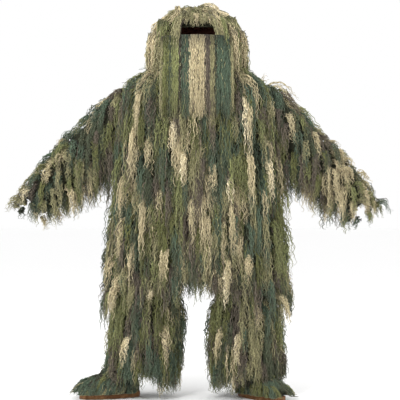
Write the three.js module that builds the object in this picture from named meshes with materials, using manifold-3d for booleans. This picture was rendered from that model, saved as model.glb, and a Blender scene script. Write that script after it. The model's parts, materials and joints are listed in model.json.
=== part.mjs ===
// Ghillie suit: hooded jacket, face veil, trousers and overboots, all under fringe.
// Millimetres, +Z up. The suit stands on its soles and faces -Y. The wearer's left is +X.
// Every soft piece is a closed shell. A "coat" is the room that a stretch of fringe takes up.
import * as THREE from "three";
import { mergeVertices } from "three/addons/utils/BufferGeometryUtils.js";
import Module from "manifold-3d";

const wasm = await Module();
wasm.setup();

const FULL_TURN = 360;
const LEVEL = { out: 1, up: 0 }; // facing of a wall that is offset straight out from its axis
const radians = THREE.MathUtils.degToRad;

// ---- driving dimensions ----
const CLOTH = 3; // thickness of the base cloth
const SEAM_GAP = 0.6; // clearance between neighbouring pieces
const COAT_INNER = 12; // fringe coat: from this far outside the cloth
const COAT_OUTER = 42; // to this far outside it
const BODY_Y = 22; // fore-and-aft centre of torso, sleeves and legs
const BOXY = 3; // superellipse exponent of the torso's sections
const ROUND = 2; // exponent of an ellipse

const LEG_X = 225; // from the middle to the centre of a leg
const LEG_TOP_RADIUS = 125;
const SKIRT_HALF = LEG_X + LEG_TOP_RADIUS + 35; // half-width of the jacket over both legs
const TORSO_DEPTH = 185; // half-depth from hem to chest
const SHOULDER_Z = 1440;
const WAIST_Z = SHOULDER_Z - 435;
const CROTCH_Z = WAIST_Z - 200;
const HEM_Z = CROTCH_Z - 85; // lower edge of the jacket's cloth
const SKIRT_Z = HEM_Z - 250; // lower edge of the jacket's fringe
const NECK_Z = SHOULDER_Z + 90;
const HOOD_HALF = 162; // half-width at the cheeks
const HOOD_DEPTH = 158; // half-depth at the eyes
const NECK_WIDTH = HOOD_HALF - 32;
const NECK_DEPTH = HOOD_DEPTH - 46;
const TORSO = [
  { a: SKIRT_HALF, b: TORSO_DEPTH, z: SKIRT_Z },
  { a: SKIRT_HALF - 13, b: TORSO_DEPTH, z: HEM_Z },
  { a: SKIRT_HALF - 40, b: TORSO_DEPTH, z: HEM_Z + 280 },
  { a: SKIRT_HALF - 60, b: TORSO_DEPTH, z: SHOULDER_Z - 110 },
  { a: SKIRT_HALF - 85, b: TORSO_DEPTH, z: SHOULDER_Z },
  { a: 215, b: 150, z: SHOULDER_Z + 60 },
  { a: NECK_WIDTH, b: NECK_DEPTH, z: NECK_Z },
];
const COLLAR_HEIGHT = 34;
const COLLAR_OPENING = 8; // degrees each side of the front
const SIDE_SEAM = 92; // degrees from the front

const ZIP_HALF_GAP = 1; // between the two tapes
const ZIP_TAPE_WIDTH = 14.4;
const ZIP_TAPE_THICK = 2;
const ZIP_BOTTOM = HEM_Z + 18;
const ZIP_TOP = SHOULDER_Z - 12;
const SLIDER = { width: 11, height: 14, front: 3, back: 2.5, web: 1.2 };
const SLIDER_CLEARANCE = 0.4;
const PULL = { width: 5, thick: 2, length: 24, hole: 1.1, head: 2.2 };
const PULL_PIN = 0.8; // radius
const FRINGE_SLOT = 9; // half-width of the front opening in the fringe

const SHOULDER = new THREE.Vector3(SKIRT_HALF - 100, BODY_Y, SHOULDER_Z - 45); // centre of the sleeve's turn
const ARM_DROP = 46; // degrees below level
const ARM_LOWER = 5; // how far the sleeve may drop
const ARM_RAISE = 30; // how far it may rise
const SLEEVE_TOP_RADIUS = 80;
const ARMHOLE = SLEEVE_TOP_RADIUS + 12; // radius of the clearance ball at the shoulder
const SLEEVE_START = 30;
const SLEEVE_CUFF_RADIUS = 60;
const CUFF_LENGTH = 45;
const SLEEVE_COAT_START = SLEEVE_TOP_RADIUS + 2;
const SLEEVE_COAT_SPLIT = 380;
const SLEEVE_COAT_END = 775;
const SLEEVE_END = SLEEVE_COAT_END - 135;
const SWEEP_CLEARANCE = 8;

const HOOD_Y = 5;
const HOOD_BOTTOM = NECK_Z + 15;
const HOOD_TOP = HOOD_BOTTOM + 267;
const HOOD_FACE_ANGLE = 42; // half-angle of the face opening
const EYE_SLOT_TOP = HOOD_BOTTOM + 175;
const HOOD = [
  { a: HOOD_HALF - 12, b: HOOD_DEPTH - 23, z: HOOD_BOTTOM },
  { a: HOOD_HALF, b: HOOD_DEPTH - 3, z: HOOD_BOTTOM + 75 },
  { a: HOOD_HALF - 2, b: HOOD_DEPTH, z: HOOD_BOTTOM + 155 },
  { a: HOOD_HALF - 14, b: HOOD_DEPTH - 8, z: HOOD_BOTTOM + 203 },
  { a: HOOD_HALF - 64, b: HOOD_DEPTH - 54, z: HOOD_BOTTOM + 243 },
  { a: 14, b: 14, z: HOOD_TOP },
];
const HOOD_COAT_OUTER = 38;
const HOOD_COAT_LIFT = 15; // the hood's fringe starts this far above its lower edge

const TEMPLE_Y = -20; // axis of the veil's two snaps
const VEIL_BAND_Z = EYE_SLOT_TOP - 56; // middle of the band
const TEMPLE_Z = VEIL_BAND_Z + 26;
const VEIL_BAND_HEIGHT = 24;
const VEIL_TAB_ANGLE = 76; // the band's raised ends start here, to hold the snaps
const VEIL_BAND_INNER = HOOD_COAT_OUTER + 6;
const VEIL_BAND_THICK = 3;
const VEIL_BAND_ANGLE = 95;
const VEIL_BOTTOM = HOOD_BOTTOM - 235;
const VEIL_TOP_HALF = 162;
const VEIL_BOTTOM_HALF = 168;
const VEIL_TOP_Y = HOOD_Y - HOOD_DEPTH - VEIL_BAND_INNER - VEIL_BAND_THICK;
const VEIL_BOTTOM_Y = Math.min(BODY_Y - TORSO_DEPTH - COAT_OUTER - 17, VEIL_TOP_Y - 23);
const VEIL_BOTTOM_CURL = 10;
const VEIL_FRINGE = 22;
const SNAP_RADIUS = 7;
const SNAP_THICK = 3;

const TROUSER_BOTTOM = 138;
const LEG_BOTTOM_RADIUS = LEG_TOP_RADIUS + 3;
const LEG_COAT_TOP = SKIRT_Z - 6;
const WAISTBAND_HEIGHT = 40;
const ELASTIC = 2; // thickness of the elastic bands
const LEG_STEPS = 18; // sides of a leg's sections

const SOLE_THICK = 24;
const SOLE_HALF_WIDTH = 54;
const SOLE_HALF_LENGTH = 148;
const SOLE_FORWARD = 78; // the sole's centre ahead of the ankle
const BOOT_TOP = 132;
const BOOT_POWER = 2.4; // superellipse exponent of the foot's outline
const BOOT_COAT_INNER = 6;
const BOOT_COAT_OUTER = 24;
const FEET = {
  left: { side: 1, ankle: LEG_X + 25, turn: 40, legShift: 14 },
  right: { side: -1, ankle: LEG_X + 110, turn: 70, legShift: 40 },
};

const COLOURS = {
  cloth: 0x4b4a34,
  lining: 0x2b2418,
  green: 0x50603f,
  teal: 0x46604e,
  straw: 0xc2ad7c,
  bark: 0x5d5040,
  elastic: 0x26251f,
  sole: 0x7a4a28,
  metal: 0x6d6a5c,
};

const suit = new THREE.Group();

/** Add one named piece to the suit, or to a placed group. */
function piece(name, geometry, colour, parent = suit, metalness = 0) {
  const roughness = metalness ? 0.4 : 0.95;
  const material = new THREE.MeshStandardMaterial({ color: COLOURS[colour], roughness, metalness });
  const mesh = new THREE.Mesh(geometry, material);
  mesh.name = name;
  parent.add(mesh);
  return mesh;
}

/** A geometry from corner points and triangles. */
function solid(points, triangles) {
  const geometry = new THREE.BufferGeometry();
  geometry.setAttribute("position", new THREE.Float32BufferAttribute(points.flat(), 3));
  geometry.setIndex(triangles.flat());
  return geometry;
}

/** Position-only copy with shared corners, as the boolean library wants it. */
function merged(geometry) {
  const bare = geometry.clone();
  bare.deleteAttribute("normal");
  bare.deleteAttribute("uv");
  return mergeVertices(bare, 1e-3);
}

function toManifold(geometry) {
  const closed = merged(geometry);
  return new wasm.Manifold(new wasm.Mesh({
    numProp: 3,
    vertProperties: new Float32Array(closed.attributes.position.array),
    triVerts: new Uint32Array(closed.index.array),
  }));
}

function fromManifold(manifold) {
  const { vertProperties, triVerts } = manifold.getMesh();
  const geometry = new THREE.BufferGeometry();
  geometry.setAttribute("position", new THREE.BufferAttribute(vertProperties, 3));
  geometry.setIndex(new THREE.BufferAttribute(triVerts, 1));
  return geometry;
}

/** The geometry with every cutter taken away from it. */
function cut(geometry, cutters) {
  const whole = toManifold(geometry);
  return fromManifold(cutters.reduce((left, cutter) => left.subtract(toManifold(cutter)), whole));
}

/** The geometries joined into one solid. */
function joined(geometries) {
  const [first, ...rest] = geometries.map(toManifold);
  return fromManifold(rest.reduce((whole, next) => whole.add(next), first));
}

/** Stations between two heights, with the ends worked out along the profile. */
function between(stations, low, high) {
  const at = (z) => {
    const k = Math.max(1, stations.findIndex((s) => s.z >= z));
    const [p, q] = [stations[k - 1], stations[k]];
    const t = (z - p.z) / (q.z - p.z);
    const mix = (key) => THREE.MathUtils.lerp(p[key] ?? 0, q[key] ?? 0, t);
    return { a: mix("a"), b: mix("b"), x: mix("x"), y: mix("y"), z };
  };
  const inside = stations.filter((s) => s.z > low + 1 && s.z < high - 1);
  return [at(low), ...inside, at(high)];
}

/** Stations split into shorter steps, so that a long stretch bends smoothly. */
function finer(stations, steps) {
  const fine = stations.slice(0, 1);
  for (let k = 1; k < stations.length; k += 1) {
    const [p, q] = [stations[k - 1], stations[k]];
    for (let i = 1; i <= steps; i += 1) {
      const mix = (key) => THREE.MathUtils.lerp(p[key] ?? 0, q[key] ?? 0, i / steps);
      fine.push({ a: mix("a"), b: mix("b"), x: mix("x"), y: mix("y"), z: mix("z") });
    }
  }
  return fine;
}

/** Outward direction of the profile at each station, in the plane of width and height. */
function normals(stations) {
  return stations.map((_, k) => {
    const low = stations[Math.max(0, k - 1)];
    const high = stations[Math.min(stations.length - 1, k + 1)];
    const length = Math.hypot(high.a - low.a, high.z - low.z);
    return { out: (high.z - low.z) / length, up: (low.a - high.a) / length };
  });
}

/** A point of a superellipse section, moved outwards. Angle 0 is the front and 90 is +X. */
function sectionPoint(station, normal, angle, offset, power) {
  const a = station.a + offset * normal.out;
  const b = station.b + offset * normal.out;
  const s = Math.sin(radians(angle));
  const c = Math.cos(radians(angle));
  const r = (Math.abs(s / a) ** power + Math.abs(c / b) ** power) ** (-1 / power);
  return [(station.x ?? 0) + r * s, (station.y ?? 0) - r * c, station.z + offset * normal.up];
}

/**
 * A closed shell around stacked sections, between two offsets and two angles.
 * A full turn gives a ring with open ends, and anything less gives a curved panel.
 * A straight shell keeps its ends square to its axis.
 */
function shell(stations, { from = 0, to = FULL_TURN, steps, inner, outer, power = ROUND, straight = false }) {
  const whole = to - from >= FULL_TURN;
  const columns = whole ? steps : steps + 1;
  const facing = straight ? stations.map(() => LEVEL) : normals(stations);
  const points = [];
  for (const offset of [outer, inner]) {
    stations.forEach((station, i) => {
      for (let j = 0; j < columns; j += 1) {
        points.push(sectionPoint(station, facing[i], from + ((to - from) * j) / steps, offset, power));
      }
    });
  }
  const rows = stations.length;
  const out = (i, j) => i * columns + (j % columns);
  const inn = (i, j) => rows * columns + out(i, j);
  const triangles = [];
  const quad = (p, q, r, s) => triangles.push([p, q, r], [p, r, s]);
  for (let j = 0; j < steps; j += 1) {
    for (let i = 0; i < rows - 1; i += 1) {
      quad(out(i, j), out(i, j + 1), out(i + 1, j + 1), out(i + 1, j));
      quad(inn(i, j), inn(i + 1, j), inn(i + 1, j + 1), inn(i, j + 1));
    }
    const top = rows - 1;
    quad(out(0, j), inn(0, j), inn(0, j + 1), out(0, j + 1));
    quad(out(top, j), out(top, j + 1), inn(top, j + 1), inn(top, j));
  }
  for (let i = 0; !whole && i < rows - 1; i += 1) {
    quad(out(i, 0), out(i + 1, 0), inn(i + 1, 0), inn(i, 0));
    quad(out(i, steps), inn(i, steps), inn(i + 1, steps), out(i + 1, steps));
  }
  return solid(points, triangles);
}

/** A closed sheet over a grid of front points, given a thickness straight back or forward. */
function slab(rows, columns, front, thickness) {
  const points = [];
  for (const shift of [0, thickness]) {
    for (let i = 0; i <= rows; i += 1) {
      for (let j = 0; j <= columns; j += 1) {
        const [x, y, z] = front(i / rows, (2 * j) / columns - 1);
        points.push([x, y + shift, z]);
      }
    }
  }
  const wide = columns + 1;
  const at = (layer, i, j) => layer * (rows + 1) * wide + i * wide + j;
  const triangles = [];
  const quad = (p, q, r, s) => triangles.push([p, q, r], [p, r, s]);
  for (let i = 0; i < rows; i += 1) {
    for (let j = 0; j < columns; j += 1) {
      quad(at(0, i, j), at(0, i, j + 1), at(0, i + 1, j + 1), at(0, i + 1, j));
      quad(at(1, i, j), at(1, i + 1, j), at(1, i + 1, j + 1), at(1, i, j + 1));
    }
    quad(at(0, i, 0), at(0, i + 1, 0), at(1, i + 1, 0), at(1, i, 0));
    quad(at(0, i, columns), at(1, i, columns), at(1, i + 1, columns), at(0, i + 1, columns));
  }
  for (let j = 0; j < columns; j += 1) {
    quad(at(0, 0, j), at(1, 0, j), at(1, 0, j + 1), at(0, 0, j + 1));
    quad(at(0, rows, j), at(0, rows, j + 1), at(1, rows, j + 1), at(1, rows, j));
  }
  return solid(points, triangles);
}

/** An upright outline in X and Z, extruded from yBack towards the front. */
function prism(corners, yBack, depth) {
  const shape = new THREE.Shape(corners.map(([x, z]) => new THREE.Vector2(x, z)));
  const geometry = new THREE.ExtrudeGeometry(shape, { depth, bevelEnabled: false });
  return geometry.rotateX(Math.PI / 2).translate(0, yBack, 0);
}

function box(width, depth, height, x, y, z) {
  return new THREE.BoxGeometry(width, depth, height).translate(x, y, z);
}

/** Unit vector along a sleeve that points so many degrees below level. */
function armDirection(side, drop) {
  return new THREE.Vector3(side * Math.cos(radians(drop)), 0, -Math.sin(radians(drop)));
}

/** What the torso leaves free for a sleeve in every position. */
function sleeveSweep(side) {
  const reach = SLEEVE_TOP_RADIUS + COAT_OUTER + SWEEP_CLEARANCE;
  const centre = new THREE.Vector3(side * SHOULDER.x, SHOULDER.y, SHOULDER.z);
  const edge = (drop, along, across) => {
    const d = armDirection(side, drop);
    const up = new THREE.Vector3(side * Math.sin(radians(drop)), 0, Math.cos(radians(drop)));
    const p = centre.clone().addScaledVector(d, along).addScaledVector(up, across);
    return [p.x, p.z];
  };
  const start = SLEEVE_COAT_START - SWEEP_CLEARANCE * 2.5;
  const low = ARM_DROP + ARM_LOWER;
  const high = ARM_DROP - ARM_RAISE;
  const corners = [edge(low, start, -reach), edge(low, SLEEVE_COAT_END, -reach)];
  corners.push(edge(high, SLEEVE_COAT_END, reach), edge(high, start, reach));
  const outline = side > 0 ? corners : corners.reverse();
  const wedge = prism(outline, BODY_Y + reach + SEAM_GAP, 2 * (reach + SEAM_GAP));
  const ball = new THREE.SphereGeometry(ARMHOLE, 24, 14).translate(centre.x, centre.y, centre.z);
  return [wedge, ball];
}

/** The angle from the front at which a torso section is this far off centre. */
function angleAt(x, depth) {
  return THREE.MathUtils.radToDeg(Math.atan2(x, depth));
}

// ---- jacket ----
const torso = TORSO.map((s) => ({ ...s, x: 0, y: BODY_Y }));
const jacketCloth = finer(between(torso, HEM_Z, NECK_Z - 1), 2);
const jacketCoat = finer(between(torso, SKIRT_Z, SHOULDER_Z + 60), 2);
const sweeps = { left: sleeveSweep(1), right: sleeveSweep(-1) };
const frontEdge = angleAt(ZIP_HALF_GAP + ZIP_TAPE_WIDTH + SEAM_GAP, NECK_DEPTH - CLOTH);
const coatEdge = angleAt(FRINGE_SLOT, TORSO_DEPTH + COAT_INNER);

for (const [name, side] of [["left", 1], ["right", -1]]) {
  const arc = (low, high) => (side > 0 ? { from: low, to: high } : { from: -high, to: -low });
  const clothArc = { ...arc(frontEdge, SIDE_SEAM - 0.3), steps: 8, power: BOXY };
  const cloth = shell(jacketCloth, { ...clothArc, inner: -CLOTH, outer: 0 });
  piece(`jacket_front_${name}`, cut(cloth, sweeps[name]), "cloth");
  const coatArc = { ...arc(coatEdge, SIDE_SEAM - 0.3), steps: 8, power: BOXY };
  const coat = shell(jacketCoat, { ...coatArc, inner: COAT_INNER, outer: COAT_OUTER });
  piece(`fringe_front_${name}`, cut(coat, sweeps[name]), name === "left" ? "green" : "teal");
}
const backArc = { from: SIDE_SEAM, to: FULL_TURN - SIDE_SEAM, steps: 14, power: BOXY };
const bothSweeps = [...sweeps.left, ...sweeps.right];
piece("jacket_back", cut(shell(jacketCloth, { ...backArc, inner: -CLOTH, outer: 0 }), bothSweeps), "cloth");
const backCoat = shell(jacketCoat, { ...backArc, inner: COAT_INNER, outer: COAT_OUTER });
piece("fringe_back", cut(backCoat, bothSweeps), "green");

const collarFoot = NECK_Z + CLOTH + SEAM_GAP;
const collar = [
  { a: NECK_WIDTH, b: NECK_DEPTH, x: 0, y: BODY_Y, z: collarFoot },
  { a: NECK_WIDTH - 8, b: NECK_DEPTH - 6, x: 0, y: BODY_Y, z: collarFoot + COLLAR_HEIGHT },
];
const collarArc = { from: COLLAR_OPENING, to: FULL_TURN - COLLAR_OPENING, steps: 24 };
piece("jacket_collar", shell(collar, { ...collarArc, inner: -CLOTH, outer: 0 }), "cloth");

const hemBand = between(torso, HEM_Z + 4, HEM_Z + 34);
const hemInside = -CLOTH - 2 * SEAM_GAP;
piece("hem_elastic", shell(hemBand, { ...backArc, inner: hemInside - ELASTIC, outer: hemInside }), "elastic");

// ---- front zip ----
const clothFront = BODY_Y - TORSO_DEPTH;
const tapeCentre = clothFront + ZIP_TAPE_THICK / 2;
for (const [name, side] of [["left", 1], ["right", -1]]) {
  const x = side * (ZIP_HALF_GAP + ZIP_TAPE_WIDTH / 2);
  const height = ZIP_TOP - ZIP_BOTTOM;
  const tape = box(ZIP_TAPE_WIDTH, ZIP_TAPE_THICK, height, x, tapeCentre, ZIP_BOTTOM + height / 2);
  piece(`zip_tape_${name}`, tape, "bark");
}
piece("zip_box", box(12, 6, 8, 0, tapeCentre, ZIP_BOTTOM - 4 - SEAM_GAP), "metal", suit, 1);

const sliderTop = ZIP_TOP - 4;
const sliderZ = sliderTop - SLIDER.height / 2;
const plateFront = clothFront - SLIDER_CLEARANCE - SLIDER.front;
const plateBack = clothFront + ZIP_TAPE_THICK + SLIDER_CLEARANCE + SLIDER.back;
const pinY = plateFront - PULL.head - 0.9;
const plate = (thick, y) => box(SLIDER.width, thick, SLIDER.height, 0, y, sliderZ);
const ear = (side) => {
  const depth = plateFront - pinY + PULL_PIN + 1.4;
  return box(1.4, depth, 4, side * (PULL.width / 2 + 1.3), plateFront - depth / 2 + 0.6, sliderZ + 3);
};
const pullPin = new THREE.CylinderGeometry(PULL_PIN, PULL_PIN, PULL.width + 3, 12)
  .rotateZ(Math.PI / 2).translate(0, pinY, sliderZ + 3);
const sliderParts = [
  plate(SLIDER.front, plateFront + SLIDER.front / 2),
  plate(SLIDER.back, plateBack - SLIDER.back / 2),
  box(SLIDER.web, plateBack - plateFront - 2, SLIDER.height - 4, 0, (plateBack + plateFront) / 2, sliderZ),
  ear(1),
  ear(-1),
  pullPin,
];
piece("zip_slider", joined(sliderParts), "metal", suit, 1);

const pullShape = new THREE.Shape();
pullShape.absarc(0, 0, PULL.head, 0, Math.PI, false);
pullShape.lineTo(-PULL.thick / 2, -PULL.head);
pullShape.lineTo(-PULL.thick / 2, -PULL.length);
pullShape.lineTo(PULL.thick / 2, -PULL.length);
pullShape.lineTo(PULL.thick / 2, -PULL.head);
pullShape.closePath();
pullShape.holes.push(new THREE.Path().absarc(0, 0, PULL.hole, 0, 2 * Math.PI, true));
const pullDepth = { depth: PULL.width, bevelEnabled: false, curveSegments: 8 };
const pullTab = new THREE.ExtrudeGeometry(pullShape, pullDepth)
  .translate(0, 0, -PULL.width / 2)
  .rotateX(Math.PI / 2)
  .rotateZ(Math.PI / 2)
  .translate(0, pinY, sliderZ + 3);
piece("zip_pull", pullTab, "metal", suit, 1);

// ---- sleeves ----
const sleeveProfile = [
  { a: SLEEVE_TOP_RADIUS, b: SLEEVE_TOP_RADIUS, z: 0 },
  { a: SLEEVE_TOP_RADIUS - 6, b: SLEEVE_TOP_RADIUS - 4, z: SLEEVE_COAT_SPLIT },
  { a: SLEEVE_CUFF_RADIUS, b: SLEEVE_CUFF_RADIUS, z: SLEEVE_END },
  { a: SLEEVE_CUFF_RADIUS - 6, b: SLEEVE_CUFF_RADIUS - 4, z: SLEEVE_COAT_END },
];
const cuffStart = SLEEVE_END + SEAM_GAP;
for (const [name, side] of [["left", 1], ["right", -1]]) {
  const arm = new THREE.Group();
  arm.position.set(side * SHOULDER.x, SHOULDER.y, SHOULDER.z);
  arm.rotation.y = side * radians(90 + ARM_DROP);
  suit.add(arm);
  const ring = (low, high, inner, outer, split) => {
    const stations = finer(between(sleeveProfile, low, high), split);
    return shell(stations, { steps: 20, inner, outer, straight: true });
  };
  piece(`sleeve_${name}`, ring(SLEEVE_START, SLEEVE_END, -CLOTH, 0, 2), "cloth", arm);
  piece(`cuff_${name}`, ring(cuffStart, cuffStart + CUFF_LENGTH, -CLOTH - ELASTIC, -1, 1), "elastic", arm);
  const upper = ring(SLEEVE_COAT_START, SLEEVE_COAT_SPLIT - SEAM_GAP, COAT_INNER, COAT_OUTER, 3);
  piece(`fringe_upper_arm_${name}`, upper, name === "left" ? "teal" : "green", arm);
  const lower = ring(SLEEVE_COAT_SPLIT, SLEEVE_COAT_END, COAT_INNER, COAT_OUTER, 2);
  piece(`fringe_forearm_${name}`, lower, "straw", arm);

  const d = armDirection(side, ARM_DROP);
  const under = (along) => {
    const radius = SLEEVE_TOP_RADIUS + COAT_OUTER + SEAM_GAP;
    const x = side * SHOULDER.x + d.x * along - side * Math.sin(radians(ARM_DROP)) * radius;
    return [x, SHOULDER.z + d.z * along - Math.cos(radians(ARM_DROP)) * radius];
  };
  const [inX, inZ] = under(345);
  const [outX, outZ] = under(SLEEVE_END + 50);
  const corners = [[inX, inZ], [outX, outZ], [outX - side * 105, outZ - 8], [inX + side * 8, inZ - 130]];
  const hanging = prism(side > 0 ? corners : corners.reverse(), BODY_Y + 30, 60);
  piece(`fringe_hanging_${name}`, hanging, "straw");
}

// ---- hood ----
const hood = HOOD.map((s) => ({ ...s, x: 0, y: HOOD_Y }));
const coatFoot = HOOD_BOTTOM + HOOD_COAT_LIFT;
const hoodSide = finer(hood, 1);
const hoodCoat = finer(between(hood, coatFoot, HOOD_TOP), 1);
for (const [name, side] of [["left", 1], ["right", -1]]) {
  const arc = (low, high) => (side > 0 ? { from: low, to: high } : { from: -high, to: -low });
  const cloth = { ...arc(HOOD_FACE_ANGLE, 179.6), steps: 9, inner: -CLOTH, outer: 0 };
  piece(`hood_${name}`, shell(hoodSide, cloth), "cloth");
  const coat = { ...arc(HOOD_FACE_ANGLE + 2, 179.6), steps: 9, inner: COAT_INNER, outer: HOOD_COAT_OUTER };
  piece(`fringe_hood_${name}`, shell(hoodCoat, coat), name === "left" ? "straw" : "green");
}
const browAngle = HOOD_FACE_ANGLE - 0.6;
const brow = between(hood, EYE_SLOT_TOP, HOOD_TOP);
const faceArc = { from: -browAngle, to: browAngle, steps: 8 };
piece("hood_brow", shell(brow, { ...faceArc, inner: -CLOTH, outer: 0 }), "cloth");
piece("fringe_brow", shell(brow, { ...faceArc, inner: COAT_INNER, outer: HOOD_COAT_OUTER }), "straw");
const chinEdge = between(hood, HOOD_BOTTOM, HOOD_BOTTOM + 30);
piece("hood_chin_strap", shell(chinEdge, { ...faceArc, inner: -CLOTH, outer: 0 }), "cloth");

// ---- face veil, on two snaps at the temples ----
const bandHalf = HOOD_HALF + VEIL_BAND_INNER;
const bandDepth = HOOD_DEPTH + VEIL_BAND_INNER;
/** How far an ellipse falls back when a point moves off its tip. */
const fallback = (reach, offset, across) => reach * (1 - Math.sqrt(1 - (offset / across) ** 2));
const veilTopCurl = 0.9 * fallback(bandDepth, VEIL_TOP_HALF, bandHalf);
const snapRoom = fallback(bandHalf, HOOD_Y - TEMPLE_Y + SNAP_RADIUS, bandDepth);
const bandTop = VEIL_BAND_Z + VEIL_BAND_HEIGHT / 2;
const bandBottom = VEIL_BAND_Z - VEIL_BAND_HEIGHT / 2;
const tabTop = TEMPLE_Z + VEIL_BAND_HEIGHT / 2;
const bandPart = (top, from, to, steps) => {
  const rings = [bandBottom, top].map((z) => ({ a: HOOD_HALF, b: HOOD_DEPTH, x: 0, y: HOOD_Y, z }));
  return shell(rings, { from, to, steps, inner: VEIL_BAND_INNER, outer: VEIL_BAND_INNER + VEIL_BAND_THICK });
};
const bandParts = [
  bandPart(bandTop, -VEIL_BAND_ANGLE, VEIL_BAND_ANGLE, 20),
  bandPart(tabTop, VEIL_TAB_ANGLE, VEIL_BAND_ANGLE, 2),
  bandPart(tabTop, -VEIL_BAND_ANGLE, -VEIL_TAB_ANGLE, 2),
];
piece("veil_band", joined(bandParts), "bark");

/** Front of the veil at a share of its drop (0 top, 1 hem) and of its half-width. */
function veilPoint(drop, across, forward, top) {
  const settled = Math.min(1, drop * 1.8);
  const half = THREE.MathUtils.lerp(VEIL_TOP_HALF, VEIL_BOTTOM_HALF, drop);
  const y = THREE.MathUtils.lerp(VEIL_TOP_Y, VEIL_BOTTOM_Y, settled) - forward;
  const curl = THREE.MathUtils.lerp(veilTopCurl, VEIL_BOTTOM_CURL, settled);
  return [half * across, y + curl * across ** 2, THREE.MathUtils.lerp(top, VEIL_BOTTOM, drop)];
}
const veilTop = bandBottom - SEAM_GAP;
piece("veil_cloth", slab(6, 12, (t, s) => veilPoint(1 - t, s, CLOTH, veilTop), CLOTH), "lining");
const yarnStart = CLOTH + SEAM_GAP + VEIL_FRINGE;
piece("fringe_veil", slab(6, 12, (t, s) => veilPoint(1 - t, s, yarnStart, veilTop), VEIL_FRINGE), "straw");

for (const [name, side] of [["left", 1], ["right", -1]]) {
  const disc = (x, radius) => new THREE.CylinderGeometry(radius, radius, SNAP_THICK, 20)
    .rotateZ(Math.PI / 2)
    .translate(side * x, TEMPLE_Y, TEMPLE_Z);
  const socketX = bandHalf - SNAP_THICK - snapRoom;
  const capX = bandHalf + VEIL_BAND_THICK + SNAP_THICK / 2 + SEAM_GAP;
  piece(`snap_socket_${name}`, disc(socketX, SNAP_RADIUS), "metal", suit, 1);
  piece(`snap_cap_${name}`, disc(capX, SNAP_RADIUS), "metal", suit, 1);
}

// ---- trousers ----
const seat = [
  { a: LEG_X + LEG_TOP_RADIUS, b: LEG_TOP_RADIUS + 8, x: 0, y: BODY_Y, z: CROTCH_Z + CLOTH },
  { a: SKIRT_HALF - 55, b: TORSO_DEPTH - 35, x: 0, y: BODY_Y, z: CROTCH_Z + 75 },
  { a: SKIRT_HALF - 95, b: TORSO_DEPTH - 33, x: 0, y: BODY_Y, z: WAIST_Z - WAISTBAND_HEIGHT },
];
piece("trouser_seat", shell(seat, { steps: 20, inner: -CLOTH, outer: 0, power: BOXY }), "cloth");
const bandFoot = WAIST_Z - WAISTBAND_HEIGHT + SEAM_GAP + 2;
const waistSize = { a: SKIRT_HALF - 97, b: TORSO_DEPTH - 35, x: 0, y: BODY_Y };
const waist = [bandFoot, WAIST_Z].map((z) => ({ ...waistSize, z }));
piece("waistband", shell(waist, { steps: 20, inner: -CLOTH, outer: 0, power: BOXY }), "cloth");
const waistElastic = waist.map((s) => ({ ...s, z: s.z === WAIST_Z ? s.z - 6 : s.z + 6 }));
const elasticOuter = -CLOTH - SEAM_GAP;
const elasticRing = { inner: elasticOuter - ELASTIC, outer: elasticOuter };
piece("waist_elastic", shell(waistElastic, { ...elasticRing, steps: 20, power: BOXY }), "elastic");

const gussetHalf = LEG_X - LEG_TOP_RADIUS;
const gusset = prism([
  [-gussetHalf, CROTCH_Z - 34],
  [0, CROTCH_Z - 14],
  [gussetHalf, CROTCH_Z - 34],
  [gussetHalf - 22, CROTCH_Z - 5],
  [-gussetHalf + 22, CROTCH_Z - 5],
], BODY_Y + LEG_TOP_RADIUS * 0.35, LEG_TOP_RADIUS * 0.7);

for (const [name, foot] of Object.entries(FEET)) {
  const { side, legShift } = foot;
  const level = (radius, x, z) => ({ a: radius, b: radius, x: side * x, y: BODY_Y, z });
  const leg = [
    level(LEG_BOTTOM_RADIUS, LEG_X + legShift, TROUSER_BOTTOM),
    level(LEG_TOP_RADIUS, LEG_X, SKIRT_Z + 10),
    level(LEG_TOP_RADIUS, LEG_X, CROTCH_Z),
  ];
  piece(`trouser_leg_${name}`, shell(finer(leg, 2), { steps: LEG_STEPS, inner: -CLOTH, outer: 0 }), "cloth");
  const coat = finer(between(leg, TROUSER_BOTTOM, LEG_COAT_TOP), 2);
  const legCoat = shell(coat, { steps: LEG_STEPS, inner: COAT_INNER, outer: COAT_OUTER });
  piece(`fringe_leg_${name}`, legCoat, name === "left" ? "green" : "teal");
  const hem = between(leg, TROUSER_BOTTOM + 4, TROUSER_BOTTOM + 26);
  piece(`ankle_elastic_${name}`, shell(hem, { ...elasticRing, steps: LEG_STEPS }), "elastic");
}
const legRooms = Object.values(FEET).map(({ side }) => {
  const radius = LEG_TOP_RADIUS + SEAM_GAP;
  return new THREE.CylinderGeometry(radius, radius, 120, 40)
    .rotateX(Math.PI / 2)
    .translate(side * LEG_X, BODY_Y, CROTCH_Z);
});
piece("crotch_gusset", cut(gusset, legRooms), "cloth");

// ---- overboots ----
const bootFoot = SOLE_THICK + SEAM_GAP;
const boot = [
  { a: SOLE_HALF_WIDTH - 4, b: SOLE_HALF_LENGTH - 4, y: -SOLE_FORWARD, z: bootFoot },
  { a: SOLE_HALF_WIDTH - 6, b: SOLE_HALF_LENGTH - 18, y: -SOLE_FORWARD + 14, z: bootFoot + 32 },
  { a: SOLE_HALF_WIDTH - 6, b: 84, y: -SOLE_FORWARD + 50, z: bootFoot + 68 },
  { a: SOLE_HALF_WIDTH - 6, b: 58, y: 4, z: BOOT_TOP },
].map((s) => ({ ...s, x: 0 }));
const soleSize = { a: SOLE_HALF_WIDTH, b: SOLE_HALF_LENGTH, x: 0, y: -SOLE_FORWARD };
const soleOutline = [0, SOLE_THICK].map((z) => ({ ...soleSize, z }));

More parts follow.
